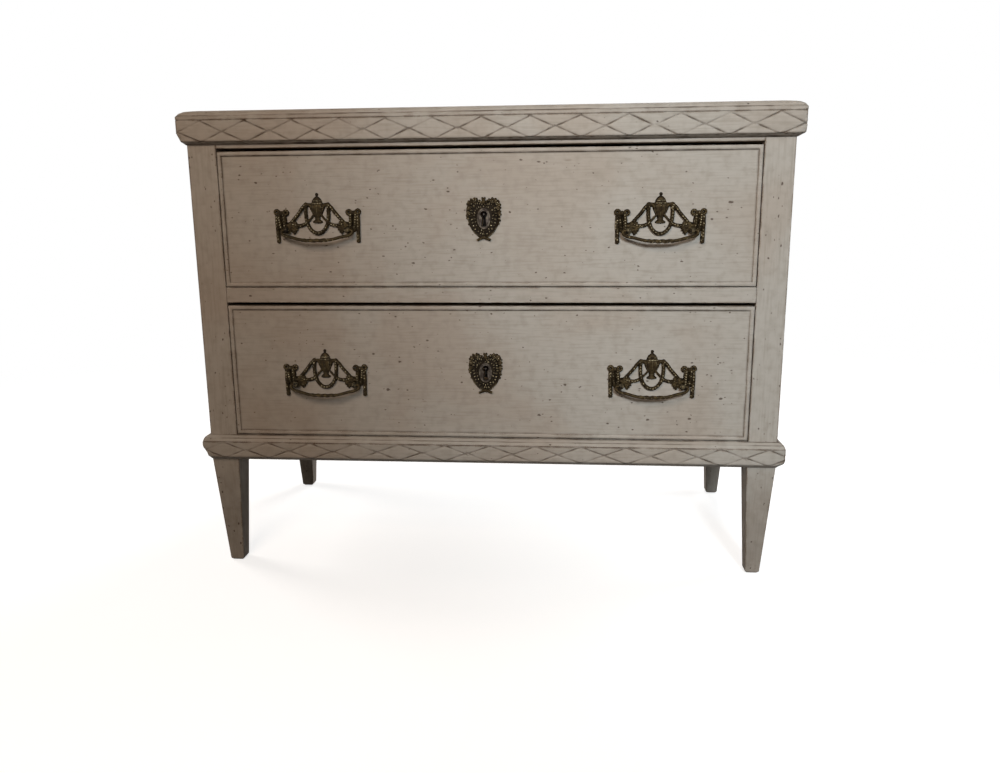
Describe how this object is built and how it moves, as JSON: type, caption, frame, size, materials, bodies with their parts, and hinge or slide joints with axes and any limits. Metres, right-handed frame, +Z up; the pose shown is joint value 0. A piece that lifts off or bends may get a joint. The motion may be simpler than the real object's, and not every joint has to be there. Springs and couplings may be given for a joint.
{
  "type": "commode chest",
  "caption": "Painted wooden chest of drawers with carved lozenge bands, square tapered legs, cast bail handles and locks.",
  "frame": {"origin": "on the floor under the middle of the chest's outline", "axes": "+X to the viewer's right along the front, +Y to the back, +Z up"},
  "size_m": [1.027, 0.503, 0.803],
  "materials": {
    "painted_wood": "worn matt grey-beige paint",
    "bare_wood": "unpainted aged pine",
    "patinated_brass": "dark patina with bright rubbed edges",
    "lock_iron": "dark wrought iron"
  },
  "bodies": {
    "case": {"front_left_post": "painted_wood", "front_right_post": "painted_wood", "rear_left_post": "painted_wood", "rear_right_post": "painted_wood", "left_side_panel": "painted_wood", "right_side_panel": "painted_wood", "back_panel": "bare_wood", "frieze_rail": "painted_wood", "middle_rail": "painted_wood", "bottom_rail": "painted_wood", "rear_top_rail": "bare_wood", "rear_bottom_rail": "bare_wood", "bottom_board": "bare_wood", "top_board": "painted_wood", "top_moulding_front": "painted_wood", "top_moulding_left": "painted_wood", "top_moulding_right": "painted_wood", "base_moulding_front": "painted_wood", "base_moulding_left": "painted_wood", "base_moulding_right": "painted_wood", "lower_left_runner": "bare_wood", "lower_right_runner": "bare_wood", "upper_left_runner": "bare_wood", "upper_right_runner": "bare_wood", "left_kicker": "bare_wood", "right_kicker": "bare_wood"},
    "lower_drawer": {"lower_drawer_front": "painted_wood", "lower_drawer_left_side": "bare_wood", "lower_drawer_right_side": "bare_wood", "lower_drawer_back": "bare_wood", "lower_drawer_bottom": "bare_wood", "lower_cock_bead": "painted_wood", "lower_escutcheon": "patinated_brass", "lower_lock": "lock_iron", "lower_left_handle_plate": "patinated_brass", "lower_left_handle_left_bolt": "patinated_brass", "lower_left_handle_right_bolt": "patinated_brass", "lower_right_handle_plate": "patinated_brass", "lower_right_handle_left_bolt": "patinated_brass", "lower_right_handle_right_bolt": "patinated_brass"},
    "lower_left_bail": {"lower_left_bail": "patinated_brass"},
    "lower_right_bail": {"lower_right_bail": "patinated_brass"},
    "lower_lock_bolt": {"lower_lock_bolt": "lock_iron"},
    "upper_drawer": {"upper_drawer_front": "painted_wood", "upper_drawer_left_side": "bare_wood", "upper_drawer_right_side": "bare_wood", "upper_drawer_back": "bare_wood", "upper_drawer_bottom": "bare_wood", "upper_cock_bead": "painted_wood", "upper_escutcheon": "patinated_brass", "upper_lock": "lock_iron", "upper_left_handle_plate": "patinated_brass", "upper_left_handle_left_bolt": "patinated_brass", "upper_left_handle_right_bolt": "patinated_brass", "upper_right_handle_plate": "patinated_brass", "upper_right_handle_left_bolt": "patinated_brass", "upper_right_handle_right_bolt": "patinated_brass"},
    "upper_left_bail": {"upper_left_bail": "patinated_brass"},
    "upper_right_bail": {"upper_right_bail": "patinated_brass"},
    "upper_lock_bolt": {"upper_lock_bolt": "lock_iron"}
  },
  "joints": [
    {"name": "lower_drawer_slide", "type": "slide", "parent": "case", "child": "lower_drawer", "axis": [0, -1, 0], "range_m": [0, 0.33]},
    {"name": "lower_left_bail_hinge", "type": "hinge", "parent": "lower_drawer", "child": "lower_left_bail", "pos_m": [-0.282, -0.23695, 0.34125], "axis": [-1, 0, 0], "range_deg": [0, 100]},
    {"name": "lower_right_bail_hinge", "type": "hinge", "parent": "lower_drawer", "child": "lower_right_bail", "pos_m": [0.284, -0.23695, 0.34325], "axis": [-1, 0, 0], "range_deg": [0, 100]},
    {"name": "lower_lock_bolt_slide", "type": "slide", "parent": "lower_drawer", "child": "lower_lock_bolt", "axis": [0, 0, 1], "range_m": [0, 0.012]},
    {"name": "upper_drawer_slide", "type": "slide", "parent": "case", "child": "upper_drawer", "axis": [0, -1, 0], "range_m": [0, 0.33]},
    {"name": "upper_left_bail_hinge", "type": "hinge", "parent": "upper_drawer", "child": "upper_left_bail", "pos_m": [-0.282, -0.23695, 0.60725], "axis": [-1, 0, 0], "range_deg": [0, 100]},
    {"name": "upper_right_bail_hinge", "type": "hinge", "parent": "upper_drawer", "child": "upper_right_bail", "pos_m": [0.29, -0.23695, 0.60325], "axis": [-1, 0, 0], "range_deg": [0, 100]},
    {"name": "upper_lock_bolt_slide", "type": "slide", "parent": "upper_drawer", "child": "upper_lock_bolt", "axis": [0, 0, 1], "range_m": [0, 0.012]}
  ]
}
